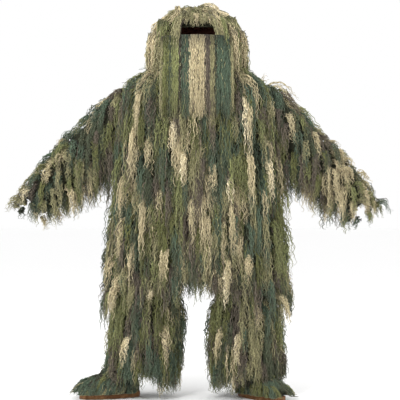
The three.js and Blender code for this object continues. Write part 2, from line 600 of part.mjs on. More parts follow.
/** A closed block between two equal outlines. */
function block([bottom, top], steps, power) {
  const angles = Array.from({ length: steps }, (_, j) => (FULL_TURN * j) / steps);
  const rim = (s) => angles.map((angle) => sectionPoint(s, LEVEL, angle, 0, power));
  const points = [...rim(bottom), ...rim(top), [bottom.x, bottom.y, bottom.z], [top.x, top.y, top.z]];
  const triangles = angles.flatMap((_, j) => {
    const k = (j + 1) % steps;
    const walls = [[j, k, steps + k], [j, steps + k, steps + j]];
    return [...walls, [k, j, 2 * steps], [steps + j, steps + k, 2 * steps + 1]];
  });
  return solid(points, triangles);
}

for (const [name, { side, ankle, turn }] of Object.entries(FEET)) {
  const foot = new THREE.Group();
  foot.position.set(side * ankle, BODY_Y, 0);
  foot.rotation.z = side * radians(turn);
  suit.add(foot);
  piece(`overboot_sole_${name}`, block(soleOutline, 28, BOOT_POWER), "sole", foot);
  const around = { steps: 20, power: BOOT_POWER };
  piece(`overboot_upper_${name}`, shell(boot, { ...around, inner: -CLOTH, outer: 0 }), "cloth", foot);
  const bootCoat = between(boot, bootFoot + 4, BOOT_TOP - 30);
  const bootFringe = shell(bootCoat, { ...around, inner: BOOT_COAT_INNER, outer: BOOT_COAT_OUTER });
  piece(`fringe_boot_${name}`, bootFringe, "bark", foot);
}

export default suit;
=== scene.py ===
"""Looks of the ghillie suit: yarn fringe, veil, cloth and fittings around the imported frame."""

import json
import logging
from dataclasses import dataclass, field, fields
from enum import Enum

import bpy
import numpy as np
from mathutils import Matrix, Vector


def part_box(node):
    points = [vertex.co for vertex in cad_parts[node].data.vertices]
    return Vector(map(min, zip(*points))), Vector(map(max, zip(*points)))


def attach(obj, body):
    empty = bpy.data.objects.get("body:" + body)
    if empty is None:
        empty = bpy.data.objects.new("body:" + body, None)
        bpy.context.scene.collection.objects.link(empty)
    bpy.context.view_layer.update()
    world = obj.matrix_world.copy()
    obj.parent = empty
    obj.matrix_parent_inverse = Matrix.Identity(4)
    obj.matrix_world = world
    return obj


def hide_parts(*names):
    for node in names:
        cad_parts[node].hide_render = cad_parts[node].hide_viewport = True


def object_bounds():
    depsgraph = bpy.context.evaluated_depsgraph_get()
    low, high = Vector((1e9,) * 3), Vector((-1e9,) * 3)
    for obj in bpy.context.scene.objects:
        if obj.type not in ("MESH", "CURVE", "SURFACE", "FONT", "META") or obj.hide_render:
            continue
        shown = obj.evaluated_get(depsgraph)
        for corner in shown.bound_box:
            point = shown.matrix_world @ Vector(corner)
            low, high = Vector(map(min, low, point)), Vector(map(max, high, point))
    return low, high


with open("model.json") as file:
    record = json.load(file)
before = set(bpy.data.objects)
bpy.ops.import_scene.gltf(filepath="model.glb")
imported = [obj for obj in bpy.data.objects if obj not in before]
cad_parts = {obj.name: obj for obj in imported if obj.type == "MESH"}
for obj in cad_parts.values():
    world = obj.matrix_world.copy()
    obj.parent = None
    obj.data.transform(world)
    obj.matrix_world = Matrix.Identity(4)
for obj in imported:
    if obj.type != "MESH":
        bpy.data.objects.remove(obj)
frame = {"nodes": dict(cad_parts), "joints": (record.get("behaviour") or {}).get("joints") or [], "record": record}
CAD_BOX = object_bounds()

log = logging.getLogger("ghillie_suit")
Array = np.ndarray
Source = bpy.types.NodeSocket | float | tuple
TAU = 2 * np.pi
DOWN = np.array([0.0, 0.0, -1.0])
UV_NAME = "OFBake"
STRAY_ROOM = 0.018  # how far a loose strand may stand before or behind the frame's box
PIECE_STRANDS = 2000  # most strands in one piece, so that its mesh stays small enough to hand on


class Tone(Enum):
    """The dyed tones of the yarn. The value is its strip in the shared colour band."""

    FOREST = 0
    TEAL = 1
    OLIVE = 2
    MOSS = 3
    KHAKI = 4
    STRAW = 5
    CREAM = 6
    BARK = 7
    SHADE = 8


TONE_COLOURS: dict[Tone, tuple[float, float, float]] = {
    Tone.FOREST: (0.072, 0.088, 0.050),
    Tone.TEAL: (0.078, 0.115, 0.074),
    Tone.OLIVE: (0.140, 0.148, 0.050),
    Tone.MOSS: (0.200, 0.212, 0.084),
    Tone.KHAKI: (0.290, 0.268, 0.140),
    Tone.STRAW: (0.540, 0.460, 0.280),
    Tone.CREAM: (0.720, 0.630, 0.420),
    Tone.BARK: (0.125, 0.102, 0.076),
    Tone.SHADE: (0.038, 0.036, 0.022),
}


def unit(v: Array) -> Array:
    """Vectors scaled to length one along the last axis."""
    return v / np.maximum(np.linalg.norm(v, axis=-1, keepdims=True), 1e-9)


# ---------------------------------------------------------------- forms that the yarn lies on


@dataclass
class Form:
    """A body of stacked superellipse sections that yarn is rooted on and drapes over.

    Sections are rows of height, half-width, half-depth, centre x and centre y, in a frame whose
    third axis runs along the form.
    """

    rows: list[tuple[float, float, float, float, float]]
    power: float = 2.0
    origin: Array = field(default_factory=lambda: np.zeros(3))
    axes: Array = field(default_factory=lambda: np.eye(3))

    def __post_init__(self) -> None:
        """Keep the rows as an array."""
        self.table = np.array(self.rows, float)

    def section(self, z: Array) -> tuple[Array, Array, Array, Array]:
        """Half-width, half-depth and centre at a height along the form.

        Args:
            z: Height along the form.

        Returns:
            Half-width, half-depth, and the centre's x and y.
        """
        t = self.table
        a, b, x, y = (np.interp(z, t[:, 0], t[:, k]) for k in (1, 2, 3, 4))
        return a, b, x, y

    def point(self, angle: Array, z: Array, offset: float = 0.0) -> Array:
        """Surface points. Angle 0 faces the front (-Y), a quarter turn is +X.

        Args:
            angle: Turn round the form, in radians.
            z: Height along the form.
            offset: Distance outside the surface.

        Returns:
            The points, in the frame's space.
        """
        a, b, x, y = self.section(z)
        s, c = np.sin(angle), np.cos(angle)
        n = self.power
        r = (np.abs(s / a) ** n + np.abs(c / b) ** n) ** (-1 / n) + offset
        local = np.stack([x + r * s, y - r * c, z], axis=-1)
        return self.origin + local @ self.axes

    def distance(self, p: Array) -> Array:
        """Rough distance outside the form, negative inside.

        Args:
            p: Points in the frame's space.

        Returns:
            One distance for each point.
        """
        q = (p - self.origin) @ self.axes.T
        low, high = self.table[0, 0], self.table[-1, 0]
        z = np.clip(q[..., 2], low, high)
        a, b, x, y = self.section(z)
        n = self.power
        dx, dy = np.abs(q[..., 0] - x), np.abs(q[..., 1] - y)
        f = ((dx / a) ** n + (dy / b) ** n) ** (1 / n)
        flat = np.hypot(dx, dy)
        side = flat * (1 - 1 / np.maximum(f, 1e-3))
        beyond = np.abs(q[..., 2] - z)
        return np.where(beyond > 0, np.hypot(np.maximum(side, 0), beyond), side)


def nearest(forms: list[Form], p: Array) -> Array:
    """Distance outside the union of the forms."""
    return np.min([f.distance(p) for f in forms], axis=0)


def slope(forms: list[Form], p: Array, step: float = 0.004) -> Array:
    """Direction away from the forms, by finite differences.

    Args:
        forms: The shapes to keep away from.
        p: Points in the frame's space.
        step: Length of each difference.

    Returns:
        One unit direction for each point.
    """
    here = nearest(forms, p)
    parts = [nearest(forms, p + step * np.eye(3)[k]) - here for k in range(3)]
    return unit(np.stack(parts, axis=-1) + 1e-12)


# ---------------------------------------------------------------- locks and strands


@dataclass
class Locks:
    """Guide lines of single-colour locks of yarn."""

    roots: Array
    start: Array
    length: Array
    lift: Array
    tone: Array
    width: Array

    def chosen(self, keep: Array) -> "Locks":
        """The locks that a mask keeps."""
        return Locks(*(getattr(self, f.name)[keep] for f in fields(self)))


@dataclass
class Drape:
    """How locks fall: steps along each, how fast they turn down, and how they reach their lift.

    A lock has its full lift after the settling steps, and no step pushes it out by more than push.
    """

    forms: list[Form]
    steps: int = 16
    turn: float = 0.34
    settling: int = 3
    push: float = 0.05

    def paths(self, locks: Locks) -> Array:
        """Guide lines of every lock, hanging under gravity over the forms.

        Args:
            locks: The roots, first directions, lengths and lifts.

        Returns:
            Points, as locks by steps by three.
        """
        p, v = locks.roots.copy(), locks.start.copy()
        step = (locks.length / (self.steps - 1))[:, None]
        line = [p]
        for k in range(1, self.steps):
            v = unit((1 - self.turn) * v + self.turn * DOWN)
            moved = p + v * step
            wanted = locks.lift * min(1.0, k / self.settling)
            short = wanted - nearest(self.forms, moved)
            away = slope(self.forms, moved)
            moved = moved + away * np.clip(short, 0, self.push)[:, None]
            v = unit(moved - p)
            p = p + v * step
            line.append(p)
        return np.stack(line, axis=1)


@dataclass
class Spinner:
    """Turns lock guides into many fine closed yarn strands.

    Attributes:
        rng: The random draws.
        strands: How many strands a lock has.
        radius: A strand's radius.
        crinkle: Size of its long waves.
        fray: Size of its small kinks.
        stray: Share of strands of another tone.
        spreading: How much a lock widens from root to tip, or narrows where it is negative.
        sides: Sides of a strand's tube.
        flatness: A lock's depth, as a share of its width.
        drifting: How far strands wander sideways by the tip, as a share of the width.
        curls: Fewest and most waves along a strand.
        kink_limit: Largest kink, in frays.
        reach: Shortest and longest strand, as shares of the lock.
        thinning: Share of its thickness that a strand loses by its tip.
    """

    rng: np.random.Generator
    strands: int = 13
    radius: float = 0.0020
    crinkle: float = 0.0034
    fray: float = 0.0042
    stray: float = 0.06
    spreading: float = -0.15
    sides: int = 3
    flatness: float = 0.35
    drifting: float = 0.30
    curls: tuple[float, float] = (1.5, 6.5)
    kink_limit: float = 2.2
    reach: tuple[float, float] = (0.55, 1.10)
    thinning: float = 0.72

    def spread(self, guides: Array, locks: Locks) -> tuple[Array, Array]:
        """Strand lines around each guide, and each strand's place in the colour band.

        Args:
            guides: One draped line for each lock.
            locks: The locks, in the same order.

        Returns:
            The strand lines, and one place for each strand.
        """
        count, steps = guides.shape[:2]
        t = np.linspace(0, 1, steps)
        along = unit(np.gradient(guides, axis=1))
        side = unit(np.cross(along, unit(np.array([0.13, -0.97, 0.21]))) + 1e-9)
        out = unit(np.cross(side, along))
        n = self.strands
        across = self.rng.uniform(-1, 1, (count, n, 1))
        deep = self.rng.uniform(-self.flatness, self.flatness, (count, n, 1))
        gather = 1.0 + self.spreading * t[None, None, :]
        drift = self.rng.normal(0, self.drifting, (count, n, 1)) * t**1.6
        half = locks.width[:, None, None]
        waves = self.rng.uniform(*self.curls, (2, count, n, 1))
        phase = self.rng.uniform(0, TAU, (2, count, n, 1))
        sway = [self.crinkle * np.sin(waves[i] * TAU * t + phase[i]) for i in (0, 1)]
        kink = self.rng.normal(0, 1, (2, count, n, steps))
        kink = self.fray * np.clip(kink, -self.kink_limit, self.kink_limit)
        du = half * (across * gather + drift) + sway[0] * np.sqrt(t) + kink[0]
        dv = half * deep + 0.7 * sway[1] * np.sqrt(t) + kink[1]
        share = self.rng.uniform(*self.reach, (count, n, 1))
        at = np.clip(share * t, 0, 1) * (steps - 1)
        low = np.minimum(at.astype(int), steps - 2)
        rest = (at - low)[..., None]
        rows = np.arange(count)[:, None, None]
        base = guides[rows, low] * (1 - rest) + guides[rows, low + 1] * rest
        over = np.clip(share - 1, 0, None) * t
        base = base + (over * locks.length[:, None, None])[..., None] * along[:, None, -1:, :]
        line = base + du[..., None] * side[:, None] + dv[..., None] * out[:, None]
        shade = self.rng.uniform(0.2, 0.8, (count, 1)) + self.rng.uniform(-0.12, 0.12, (count, n))
        tone = np.repeat(locks.tone[:, None], n, axis=1)
        odd = self.rng.random((count, n)) < self.stray
        tone[odd] = self.rng.choice([Tone.BARK.value, Tone.KHAKI.value, Tone.SHADE.value], odd.sum())
        place = (tone + shade) / len(Tone)
        return line.reshape(-1, steps, 3), place.reshape(-1)

    def mesh(self, name: str, lines: Array, place: Array) -> bpy.types.Object:
        """One object of closed tubes, with the colour band and length as its UV map.

        Args:
            name: The piece's name.
            lines: Strands by steps by three.
            place: Each strand's place across the colour band, 0 to 1.

        Returns:
            The new object.
        """
        count, steps = lines.shape[:2]
        n = self.sides
        t = np.linspace(0, 1, steps)
        along = unit(np.gradient(lines, axis=1))
        side = unit(np.cross(along, np.array([0.31, 0.93, 0.17])))
        out = np.cross(side, along)
        swell = self.rng.uniform(0.55, 1.45, (count, steps)) * (1 - self.thinning * t**2.2)
        thick = self.radius * swell * self.rng.uniform(0.75, 1.25, (count, 1))
        turn = TAU * np.arange(n) / n + self.rng.uniform(0, TAU, (count, 1))
        ring = np.cos(turn)[:, None, :, None] * side[:, :, None]
        ring = ring + np.sin(turn)[:, None, :, None] * out[:, :, None]
        verts = lines[:, :, None] + ring * thick[:, :, None, None]
        per = steps * n
        k, j = np.meshgrid(np.arange(steps - 1), np.arange(n), indexing="ij")
        nxt = (j + 1) % n
        quads = np.stack([k * n + j, k * n + nxt, (k + 1) * n + nxt, (k + 1) * n + j], -1).reshape(-1, 4)
        rise = np.stack([k, k, k + 1, k + 1], -1).reshape(-1, 4)
        over = np.stack([j, j + 1, j + 1, j], -1).reshape(-1, 4)
        ends = np.stack([np.arange(n)[::-1], per - n + np.arange(n)])
        corner = np.concatenate([quads.ravel(), ends.ravel()])
        up = np.concatenate([rise.ravel(), np.zeros(n), np.full(n, steps - 1)]) / (steps - 1)
        around = np.concatenate([over.ravel(), np.arange(n), np.arange(n)]) / n
        loops = (corner[None] + (np.arange(count) * per)[:, None]).ravel()
        totals = np.tile(np.r_[np.full(len(quads), 4), np.full(2, n)], count)
        starts = np.r_[0, np.cumsum(totals)[:-1]]
        u = place[:, None] + (around[None] - 0.5) * 0.008
        uv = np.stack([u, np.broadcast_to(0.01 + 0.98 * up, u.shape)], -1)
        data = bpy.data.meshes.new(name)
        data.vertices.add(count * per)
        data.vertices.foreach_set("co", verts.astype(np.float32).ravel())
        data.loops.add(len(loops))
        data.loops.foreach_set("vertex_index", loops.astype(np.int32))
        data.polygons.add(len(totals))
        data.polygons.foreach_set("loop_start", starts.astype(np.int32))
        data.polygons.foreach_set("use_smooth", np.ones(len(totals), bool))
        data.update(calc_edges=True)
        data.uv_layers.new(name=UV_NAME).data.foreach_set("uv", uv.astype(np.float32).ravel())
        made = bpy.data.objects.new(name, data)
        bpy.context.collection.objects.link(made)
        return made


# ---------------------------------------------------------------- finishes


class Nodes:
    """A small helper that adds nodes to a tree and wires them."""

    def __init__(self, tree: bpy.types.NodeTree) -> None:
        """Hold the tree that nodes are added to."""
        self.tree = tree

    def add(self, kind: str, inputs: dict | None = None, **settings: object) -> bpy.types.Node:
        """Add a node, set its properties, and set or wire its inputs.

        Args:
            kind: The node's type name.
            inputs: Input name or number to a value or an output socket.
            **settings: The node's own properties.

        Returns:
            The new node.
        """
        node = self.tree.nodes.new(kind)
        for key, value in settings.items():
            setattr(node, key, value)
        for key, value in (inputs or {}).items():
            if isinstance(value, bpy.types.NodeSocket):
                self.tree.links.new(value, node.inputs[key])
            else:
                node.inputs[key].default_value = value
        return node

    def math(self, operation: str, a: Source, b: Source = 0.0, c: Source = 0.0) -> bpy.types.NodeSocket:
        """The output of a math node."""
        return self.add("ShaderNodeMath", {0: a, 1: b, 2: c}, operation=operation).outputs[0]

    def mix(self, share: Source, a: Source, b: Source, blend: str = "MIX") -> bpy.types.NodeSocket:
        """The output of a colour mix."""
        node = self.add("ShaderNodeMix", {0: share, 6: a, 7: b}, data_type="RGBA", blend_type=blend)
        return node.outputs[2]


def group(name: str, inputs: list[tuple],
          outputs: list[tuple]) -> tuple[bpy.types.NodeTree, Nodes, dict, dict]:
    """A new shader node group with named sockets.

    Args:
        name: The group's name.
        inputs: Name, socket type and default of each input.
        outputs: Name and socket type of each output.

    Returns:
        The tree, a node helper, the input sockets and the output node's sockets by name.
    """
    tree = bpy.data.node_groups.new(name, "ShaderNodeTree")
    for label, kind, value in inputs:
        tree.interface.new_socket(label, in_out="INPUT", socket_type=kind).default_value = value
    for label, kind in outputs:
        tree.interface.new_socket(label, in_out="OUTPUT", socket_type=kind)
    nodes = Nodes(tree)
    start, end = nodes.add("NodeGroupInput"), nodes.add("NodeGroupOutput")
    return tree, nodes, start.outputs, end.inputs


def fibre_group() -> bpy.types.NodeTree:
    """Colour and relief of a dyed, frayed yarn, from its UV band and length, with painted shade near the roots.

    Returns:
        The group, ready to place in a material.
    """
    tree, n, start, end = group(
        "yarn_fibre",
        [
            ("Vector", "NodeSocketVector", (0, 0, 0)),
            ("Fade", "NodeSocketFloat", 0.3),
            ("Dust", "NodeSocketFloat", 0.2),
        ],
        [("Colour", "NodeSocketColor"), ("Height", "NodeSocketFloat")],
    )
    parts = n.add("ShaderNodeSeparateXYZ", {0: start["Vector"]})
    u, v = parts.outputs[0], parts.outputs[1]
    ramp = n.add("ShaderNodeValToRGB", {0: u})
    band = ramp.color_ramp
    band.interpolation = "CONSTANT"
    while len(band.elements) < len(Tone):
        band.elements.new(0.5)
    for tone, stop in zip(Tone, band.elements):
        stop.position = tone.value / len(Tone)
        stop.color = (*TONE_COLOURS[tone], 1)

    def noise(across: float, down: float, detail: float) -> bpy.types.NodeSocket:
        """Noise over the strand, stretched by the two scales.

        Args:
            across: Scale along the UV's first axis.
            down: Scale along its second.
            detail: Octaves of the noise.

        Returns:
            The noise's output.
        """
        scaled = {0: n.math("MULTIPLY", u, across), 1: n.math("MULTIPLY", v, down)}
        at = n.add("ShaderNodeCombineXYZ", scaled).outputs[0]
        return n.add("ShaderNodeTexNoise", {"Vector": at, "Scale": 1.0, "Detail": detail}).outputs[0]

    def contrast(source: bpy.types.NodeSocket, low: float, high: float) -> bpy.types.NodeSocket:
        """The noise spread out between two brightnesses."""
        return n.add("ShaderNodeMapRange", {0: source, 1: 0.34, 2: 0.66, 3: low, 4: high}).outputs[0]

    strand = noise(420.0, 0.9, 0.0)
    patch = noise(300.0, 26.0, 1.0)
    fine = noise(1900.0, 60.0, 1.0)
    light = n.math("ADD", contrast(strand, 0.0, 0.5), contrast(patch, 0.2, 1.15))
    light = n.math("ADD", light, contrast(fine, 0.0, 0.3))
    # Painted shade: each strand darkens over the first quarter of its length towards its root, where the locks
    # crowd and shade each other.
    root = n.add("ShaderNodeMapRange", {0: v, 1: 0.0, 2: 0.25, 3: 0.35, 4: 1.0}).outputs[0]
    value = n.math("MULTIPLY", light, root)
    hue = n.math("ADD", n.math("MULTIPLY", noise(733.0, 1.3, 0.0), 0.05), 0.475)
    shift = {"Hue": hue, "Value": value, "Color": ramp.outputs[0]}
    toned = n.add("ShaderNodeHueSaturation", shift).outputs[0]
    tip = n.add("ShaderNodeMapRange", {0: v, 1: 0.55, 2: 1.0, 3: 0.0, 4: 1.0}).outputs[0]
    faded = n.mix(n.math("MULTIPLY", tip, start["Fade"]), toned, (0.30, 0.26, 0.16, 1))
    dusty = n.mix(n.math("MULTIPLY", patch, start["Dust"]), faded, (0.36, 0.33, 0.24, 1))
    n.tree.links.new(dusty, end["Colour"])
    n.tree.links.new(fine, end["Height"])
    return tree


def weave_group() -> bpy.types.NodeTree:
    """Plain weave with uneven dye, from a position.

    Returns:
        The group, ready to place in a material.
    """
    tree, n, start, end = group(
        "cloth_weave",
        [
            ("Vector", "NodeSocketVector", (0, 0, 0)),
            ("Colour", "NodeSocketColor", (0.1, 0.1, 0.1, 1)),
            ("Threads", "NodeSocketFloat", 700.0),
            ("Unevenness", "NodeSocketFloat", 0.5),
        ],
        [("Colour", "NodeSocketColor"), ("Height", "NodeSocketFloat")],
    )
    axes = n.add("ShaderNodeSeparateXYZ", {0: start["Vector"]})
    wave = [n.math("SINE", n.math("MULTIPLY", axes.outputs[k], start["Threads"])) for k in range(3)]
    threads = n.math("MULTIPLY", n.math("ADD", wave[0], wave[1]), wave[2])
    blot = n.add("ShaderNodeTexNoise", {"Vector": start["Vector"], "Scale": 9.0, "Detail": 4.0}).outputs[0]
    dark = n.mix(1.0, start["Colour"], (0.42, 0.40, 0.36, 1), "MULTIPLY")
    share = n.math("MULTIPLY", blot, start["Unevenness"])
    dyed = n.mix(share, start["Colour"], dark)
    lit = n.add("ShaderNodeMapRange", {0: threads, 1: -2.0, 2: 2.0, 3: 0.82, 4: 1.18}).outputs[0]
    shaded = n.add("ShaderNodeHueSaturation", {"Value": lit, "Color": dyed}).outputs[0]
    n.tree.links.new(shaded, end["Colour"])
    n.tree.links.new(threads, end["Height"])
    return tree


def wear_group() -> bpy.types.NodeTree:
    """Grain, scuffs and dirt of leather or metal, from a position.

    Returns:
        The group, ready to place in a material.
    """
    tree, n, start, end = group(
        "grain_and_scuffs",
        [
            ("Vector", "NodeSocketVector", (0, 0, 0)),
            ("Colour", "NodeSocketColor", (0.3, 0.2, 0.1, 1)),
            ("Worn", "NodeSocketColor", (0.5, 0.4, 0.3, 1)),
            ("Grain", "NodeSocketFloat", 400.0),
        ],
        [("Colour", "NodeSocketColor"), ("Roughness", "NodeSocketFloat"), ("Height", "NodeSocketFloat")],
    )
    cells = n.add("ShaderNodeTexVoronoi", {"Vector": start["Vector"], "Scale": start["Grain"]}).outputs[0]
    scuff = n.add("ShaderNodeTexNoise", {"Vector": start["Vector"], "Scale": 40.0, "Detail": 6.0}).outputs[0]
    mask = n.add("ShaderNodeMapRange", {0: scuff, 1: 0.45, 2: 0.72, 3: 0.0, 4: 0.85}).outputs[0]
    n.tree.links.new(n.mix(mask, start["Colour"], start["Worn"]), end["Colour"])
    n.tree.links.new(n.add("ShaderNodeMapRange", {0: scuff, 3: 0.45, 4: 0.85}).outputs[0], end["Roughness"])
    n.tree.links.new(cells, end["Height"])
    return tree


@dataclass(frozen=True)
class Finish:
    """One material: a node group's effect feeding a plain shader."""

    name: str
    values: dict
    roughness: float = 0.9
    metallic: float = 0.0
    sheen: float = 0.0
    bump: float = 0.4
    relief: float = 0.0006
    from_uv: bool = False

    def material(self, effect: bpy.types.NodeTree) -> bpy.types.Material:
        """The material, with the effect placed in it.

        Args:
            effect: The node group that gives colour and height.

        Returns:
            The new material.
        """
        made = bpy.data.materials.new(self.name)
        made.use_nodes = True
        n = Nodes(made.node_tree)
        shader = made.node_tree.nodes["Principled BSDF"]
        if self.from_uv:
            vector = n.add("ShaderNodeUVMap", uv_map=UV_NAME).outputs[0]
        else:
            vector = n.add("ShaderNodeTexCoord").outputs["Object"]
        placed = n.add("ShaderNodeGroup", node_tree=effect)
        n.tree.links.new(vector, placed.inputs["Vector"])
        for key, value in self.values.items():
            placed.inputs[key].default_value = value
        n.tree.links.new(placed.outputs["Colour"], shader.inputs["Base Color"])
        if "Roughness" in placed.outputs:
            n.tree.links.new(placed.outputs["Roughness"], shader.inputs["Roughness"])
        else:
            shader.inputs["Roughness"].default_value = self.roughness
        relief = {"Strength": self.bump, "Distance": self.relief, "Height": placed.outputs["Height"]}
        raised = n.add("ShaderNodeBump", relief)
        n.tree.links.new(raised.outputs[0], shader.inputs["Normal"])
        shader.inputs["Metallic"].default_value = self.metallic
        shader.inputs["Sheen Weight"].default_value = self.sheen
        shader.inputs["Specular IOR Level"].default_value = 0.25 if not self.metallic else 0.5
        return made


WOVEN: tuple = (  # name, colour, threads a metre times two pi, roughness
    ("base_cloth", (0.07, 0.07, 0.04), 1400.0, 0.9),
    ("dark_lining", (0.17, 0.075, 0.048), 1600.0, 0.9),
    ("hood_inside", (0.30, 0.125, 0.085), 1600.0, 0.9),
    ("woven_tape", (0.09, 0.075, 0.045), 2400.0, 0.8),
    ("ribbed_elastic", (0.03, 0.03, 0.026), 1900.0, 0.75),
)


class Wardrobe:
    """Every finish of the suit, made once."""

    def __init__(self) -> None:
        """Build the shared effects and the materials."""
        fibre, weave, wear = fibre_group(), weave_group(), wear_group()
        self.yarn, self.veil_yarn = (
            Finish(name, {"Fade": fade, "Dust": dust}, rough, sheen=0.1, from_uv=True).material(fibre)
            for name, fade, dust, rough in (("shaggy_yarn", 0.12, 0.05, 0.92), ("veil_yarn", 0.05, 0.03, 0.9))
        )
        roots = {"Colour": (0.030, 0.032, 0.018, 1), "Threads": 300.0, "Unevenness": 0.9}
        self.mat = Finish("mat_of_roots", roots, 0.95).material(weave)
        self.cloth, self.lining, self.inside, self.tape, self.elastic = (
            Finish(name, {"Colour": (*colour, 1), "Threads": threads}, rough).material(weave)
            for name, colour, threads, rough in WOVEN
        )
        worn_tan = {"Colour": (0.16, 0.065, 0.022, 1), "Worn": (0.33, 0.17, 0.075, 1), "Grain": 520.0}
        self.sole = Finish("worn_tan_sole", worn_tan, bump=0.5).material(wear)
        dark_brass = {"Colour": (0.14, 0.115, 0.075, 1), "Worn": (0.42, 0.34, 0.2, 1), "Grain": 1500.0}
        self.metal = Finish("darkened_brass", dark_brass, metallic=1.0, bump=0.15).material(wear)

    def dress_frame(self) -> None:
        """Give every carried-over node of the frame its finish."""
        by_slot = {"fringe": self.mat, "cloth": self.cloth, "lining": self.lining, "tape": self.tape}
        by_slot |= {"elastic": self.elastic, "sole": self.sole, "metal": self.metal}
        for row in frame["record"]["subparts"]:
            node = frame["nodes"][row["node"]]
            node.data.materials.clear()
            node.data.materials.append(by_slot[row["material_slot"]])
            log.info("%s: %s", row["node"], row["material_slot"])


# ---------------------------------------------------------------- garments


def side_name(side: int) -> str:
    """The name of the wearer's side, from its sign along x."""
    return "left" if side > 0 else "right"


def closed_sheet(name: str, skins: list[Array], columns: int, whole: bool = False) -> bpy.types.Object:
    """A thin closed piece: two matching skins of points, joined along every open edge.

    Args:
        name: The piece's name.
        skins: The outer and the inner skin, each in rows from the lowest up.
        columns: How many points a row has.
        whole: Whether a row closes on itself.

    Returns:
        The new object.
    """
    layer = len(skins[0])
    rows = layer // columns
    top = layer - columns
    faces = []
    for j in range(columns if whole else columns - 1):
        k = (j + 1) % columns
        for i in range(0, top, columns):
            a, b, c, d = i + j, i + k, i + columns + k, i + columns + j
            faces += [(a, b, c, d), (layer + d, layer + c, layer + b, layer + a)]
        faces += [(k, j, layer + j, layer + k), (top + j, top + k, layer + top + k, layer + top + j)]
    for i in range(0 if whole else rows - 1):
        a, d = i * columns, (i + 1) * columns
        faces.append((a, d, layer + d, layer + a))
        a, d = a + columns - 1, d + columns - 1
        faces.append((d, a, layer + a, layer + d))
    data = bpy.data.meshes.new(name)
    data.from_pydata(np.concatenate(skins).tolist(), [], faces)
    data.polygons.foreach_set("use_smooth", np.ones(len(faces), bool))
    data.update()
    piece = bpy.data.objects.new(name, data)
    bpy.context.collection.objects.link(piece)
    return piece


